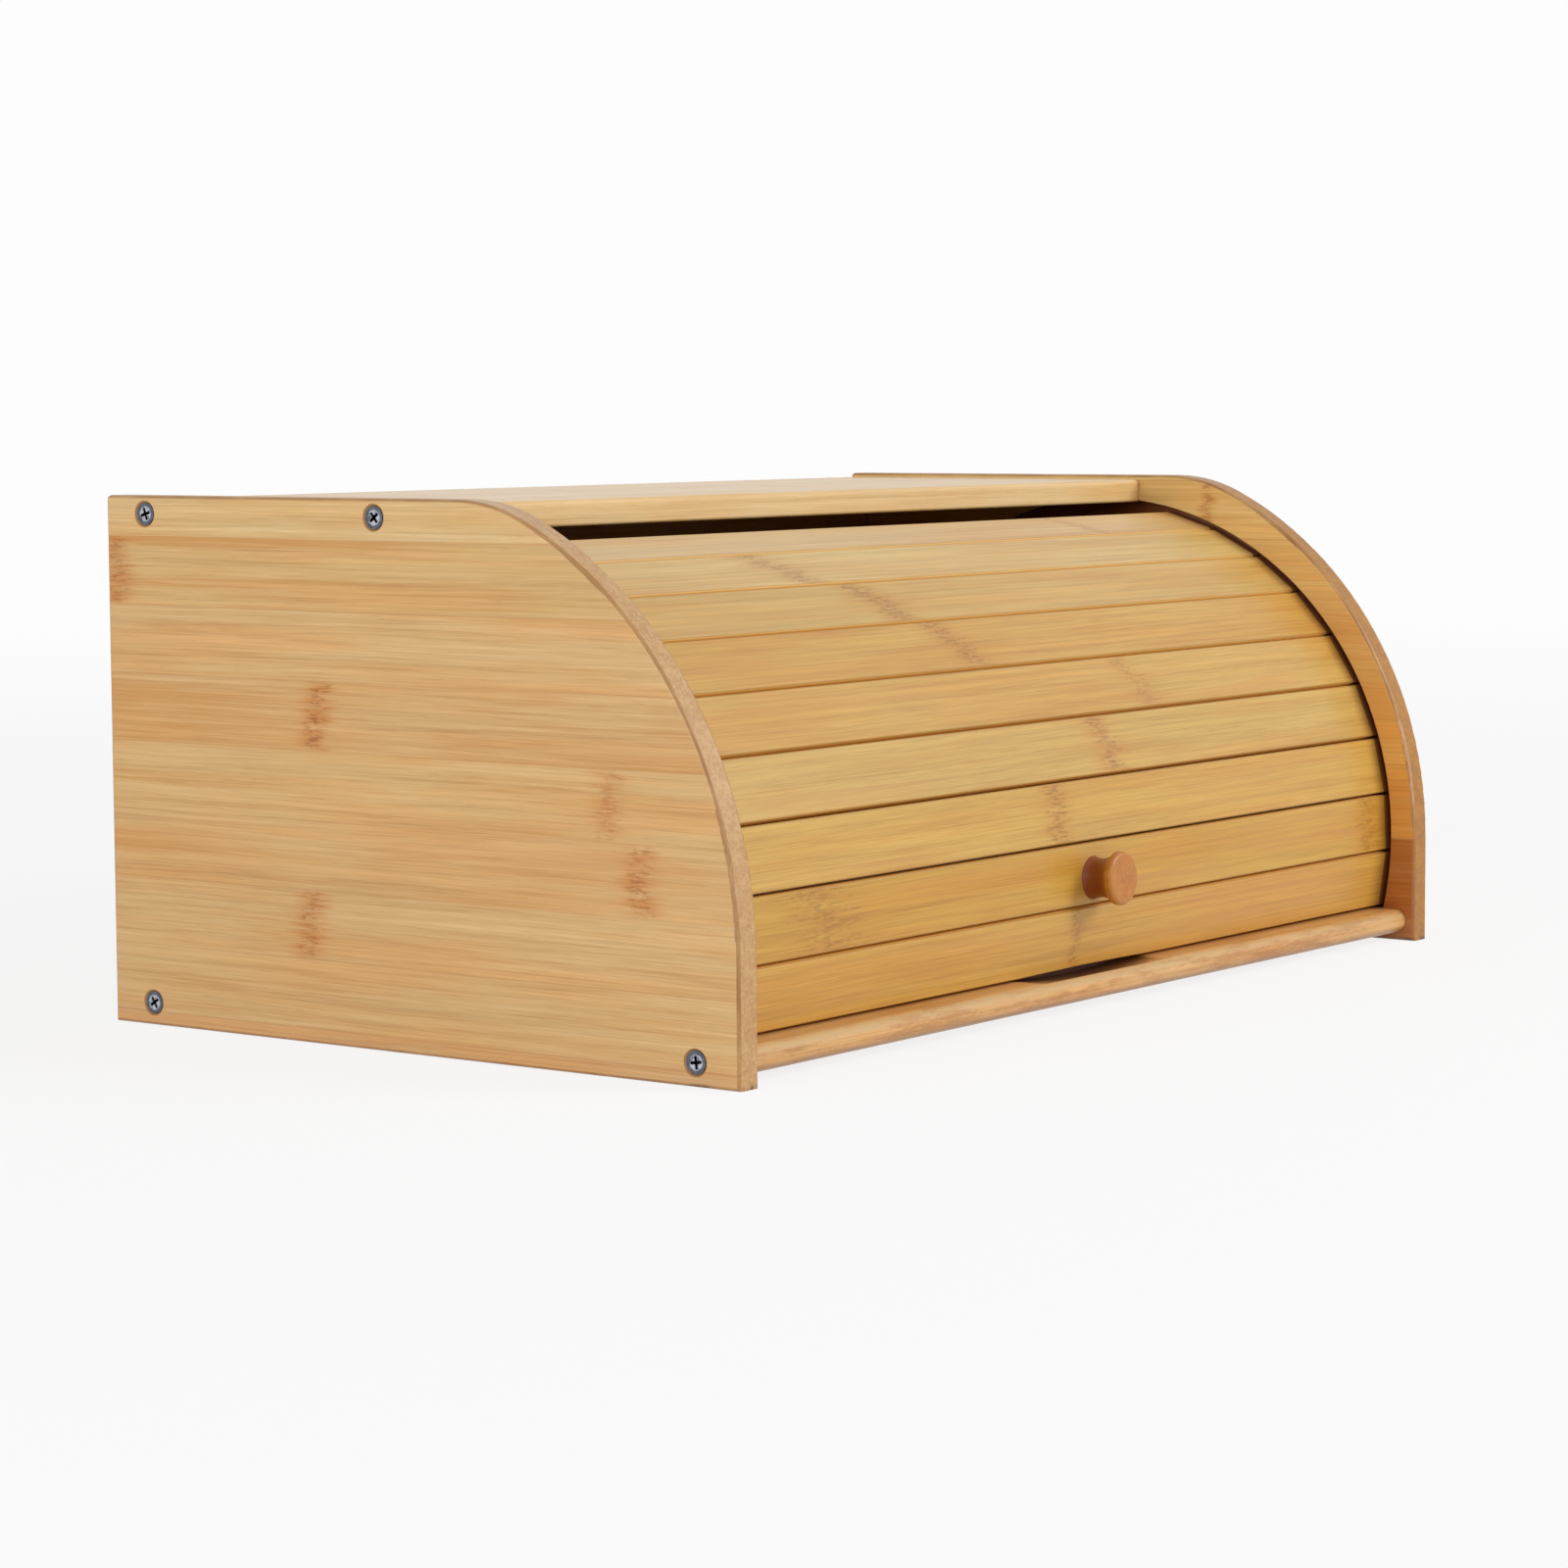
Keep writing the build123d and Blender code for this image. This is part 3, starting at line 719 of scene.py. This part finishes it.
# zinc plated steel: bright on top, with painted shade at the rim and in the recess
def steelMaterial(name, headTop=None):
    material, tree, shader = newMaterial(name)
    place = millimetres(tree)
    tarnish = noise(tree, scaled(tree, place, (0.7, 0.7, 0.7)), 4.0, 0.6)
    fine = noise(tree, scaled(tree, place, (6.0, 6.0, 6.0)), 3.0, 0.6)
    colour = ramp(tree, tarnish, ((0.35, screws["dull"]), (0.55, screws["colour"])))
    if headTop:
        x, y, z = parts(tree, place)
        away = screwDistance(tree, y, z)
        rim = smooth(tree, away, screws["rimFrom"], screws["rimFrom"] + 0.4)
        sunk = below(tree, calc(tree, "ABSOLUTE", x), headTop - 0.5, headTop - 0.15)
        colour = mixColour(tree, product(tree, rim, 0.85), colour, screws["rim"])
        colour = mixColour(tree, sunk, colour, screws["deep"])
    tree.links.new(colour, shader.inputs["Base Color"])
    tree.links.new(remap(tree, fine, 0.3, 0.7, screws["roughness"] - 0.08, screws["roughness"] + 0.15),
                   shader.inputs["Roughness"])
    bump = addNode(tree, "Bump", {"Height": fine, "Strength": 0.2, "Distance": 0.0001})
    tree.links.new(bump.outputs[0], shader.inputs["Normal"])
    shader.inputs["Metallic"].default_value = 1.0
    return material


sideScrews = [name for name in nodes if name.endswith("screws")]
headTop = max(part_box(name)[1].x for name in sideScrews) / mm
assign(sideScrews, steelMaterial("screwSteel", headTop))
assign(["knob_screw"], steelMaterial("knobScrewSteel"))
print("screws finished")


# cloth glued to the inside of the curtain, cut flat and bent over the nine slats
cloth = {
    "width": 389.0,
    "length": 177.6,
    "margin": 2.0,  # short of the outer slats' edges
    "face": 114.35,  # millimetres from the track's axis to its free side
    "glued": 114.8,
    "thickness": 0.4,
    "pucker": 0.12,
    "colour": paint(216, 208, 188),
    "shade": paint(188, 178, 154),
    "bridge": 8.6,  # from a slat's middle line to where the cloth leaves it
    "frayed": 2.0,
    "thread": 0.9,  # threads to the millimetre
}


def clothMaterial(look):
    material, tree, shader = newMaterial("backingCloth")
    place = millimetres(tree)
    x, y, z = parts(tree, place)
    turns = 2 * math.pi * look["thread"]
    weft = calc(tree, "SINE", product(tree, x, turns))
    angle = calc(tree, "ARCTAN2", calc(tree, "SUBTRACT", z, trackAxis.z / mm),
                 calc(tree, "SUBTRACT", trackAxis.y / mm, y))
    warp = calc(tree, "SINE", product(tree, angle, turns * look["face"]))
    weave = product(tree, weft, warp)
    mottled = noise(tree, scaled(tree, place, (0.05, 0.05, 0.05)), 4.0, 0.6)
    level = calc(tree, "MULTIPLY_ADD", weave, 0.22, mottled)
    colour = ramp(tree, level, ((0.3, look["shade"]), (0.7, look["colour"])))
    half = look["width"] / 2
    frayed = smooth(tree, calc(tree, "ABSOLUTE", x), half - look["frayed"], half)
    colour = mixColour(tree, product(tree, frayed, 0.5), colour, look["shade"])
    tree.links.new(colour, shader.inputs["Base Color"])
    bump = addNode(tree, "Bump", {"Height": weave, "Strength": 0.4, "Distance": 0.0002})
    tree.links.new(bump.outputs[0], shader.inputs["Normal"])
    tree.links.new(remap(tree, mottled, 0.3, 0.7, 0.84, 0.96), shader.inputs["Roughness"])
    return material


def makeCloth(look):
    facets = [slatAxes(f"slat_{number:02d}") for number in range(1, slats["count"] + 1)]
    first, second = facets[0][2], facets[1][2]
    facet = 2 * look["glued"] * math.tan(first.angle(second) / 2)
    shape = bmesh.new()
    bmesh.ops.create_grid(shape, x_segments=80, y_segments=90, size=0.5)
    for vert in shape.verts:
        x = vert.co.x * look["width"]
        developed = (vert.co.y + 0.5) * look["length"] + facet / 2 - (slats["halfWidth"] - look["margin"])
        number = min(int(developed / facet), len(facets) - 1)
        offset = developed - facet * (number + 0.5)
        middle, upward, outward = facets[number]
        bridging = max(0.0, abs(offset) - look["bridge"]) / 1.5
        pucker = look["pucker"] * bridging * (1.3 + math.sin(x * 0.21 + number) + math.sin(x * 0.083))
        radius = look["face"] - pucker
        vert.co = Vector((x * mm, trackAxis.y, trackAxis.z)) + (upward * offset + outward * radius) * mm
    bmesh.ops.solidify(shape, geom=list(shape.faces), thickness=look["thickness"] * mm)
    bmesh.ops.recalc_face_normals(shape, faces=list(shape.faces))
    sheet = makePiece("backing_cloth_sheet", shape)
    sheet.data.shade_smooth()
    sheet.data.materials.append(clothMaterial(look))
    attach(sheet, "curtain")
    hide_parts("curtain_backing")


makeCloth(cloth)
print("cloth finished")


# floor and light
stage = {
    "floorRadius": 8.0,
    "floor": paint(246, 246, 246),
    "background": paint(253, 253, 253),
    "glow": 0.85,  # near the box, rising to 1 over the fade
    "fade": (0.4, 2.5),
    "worldStrength": 0.42,
}


def cameraShare(tree):  # 1 for what the camera sees directly, in gloss or through glass
    lightPath = addNode(tree, "LightPath").outputs
    return calc(tree, "MAXIMUM", lightPath["Is Camera Ray"],
                calc(tree, "MAXIMUM", lightPath["Is Glossy Ray"], lightPath["Is Transmission Ray"]))


def makeFloor(look):
    shape = bmesh.new()
    bmesh.ops.create_circle(shape, cap_ends=True, segments=96, radius=look["floorRadius"])
    bmesh.ops.translate(shape, vec=(0, 0, -0.0001), verts=shape.verts)
    floor = makePiece("floor", shape)
    material, tree, output = emptyMaterial("floor")
    matt = addNode(tree, "BsdfDiffuse", {"Color": look["floor"]})
    glow = addNode(tree, "Emission", {"Color": look["background"], "Strength": 1.0})
    place = addNode(tree, "TexCoord").outputs["Object"]
    fade = remap(tree, smooth(tree, length(tree, place), *look["fade"]), 0.0, 1.0, look["glow"], 1.0)
    mixed = addNode(tree, "MixShader", {
        0: product(tree, cameraShare(tree), fade), 1: matt.outputs[0], 2: glow.outputs[0]})
    tree.links.new(mixed.outputs[0], output.inputs[0])
    floor.data.materials.append(material)


def makeWorld(look):
    world = bpy.data.worlds.new("world")
    bpy.context.scene.world = world
    world.use_nodes = True
    tree = world.node_tree
    tree.nodes.clear()
    output = tree.nodes.new("ShaderNodeOutputWorld")
    ambient = addNode(tree, "Background", {"Color": (1, 1, 1, 1), "Strength": look["worldStrength"]})
    shown = addNode(tree, "Background", {"Color": look["background"], "Strength": 1.0})
    mixed = addNode(tree, "MixShader", {
        0: cameraShare(tree), 1: ambient.outputs[0], 2: shown.outputs[0]})
    tree.links.new(mixed.outputs[0], output.inputs[0])


lamps = {
    "leftLamp": {"place": (-2.2, 0.25, 0.45), "size": 1.0, "power": 17.0},
    "rightLamp": {"place": (0.9, -1.8, 1.2), "size": 1.0, "power": 27.0},
    "fillLamp": {"place": (-1.5, -1.9, 0.9), "size": 1.0, "power": 7.0},
}


def makeLamp(name, look):
    data = bpy.data.lights.new(name, "AREA")
    data.shape = "SQUARE"
    data.size = look["size"]
    data.energy = look["power"]
    lamp = bpy.data.objects.new(name, data)
    bpy.context.scene.collection.objects.link(lamp)
    lamp.location = look["place"]
    aim = Vector((0, 0, 0.08)) - Vector(look["place"])
    lamp.rotation_euler = aim.to_track_quat("-Z", "Y").to_euler()


makeFloor(stage)
makeWorld(stage)
for lampName, look in lamps.items():
    makeLamp(lampName, look)
bpy.context.scene.view_settings.view_transform = "Standard"
print("stage finished")
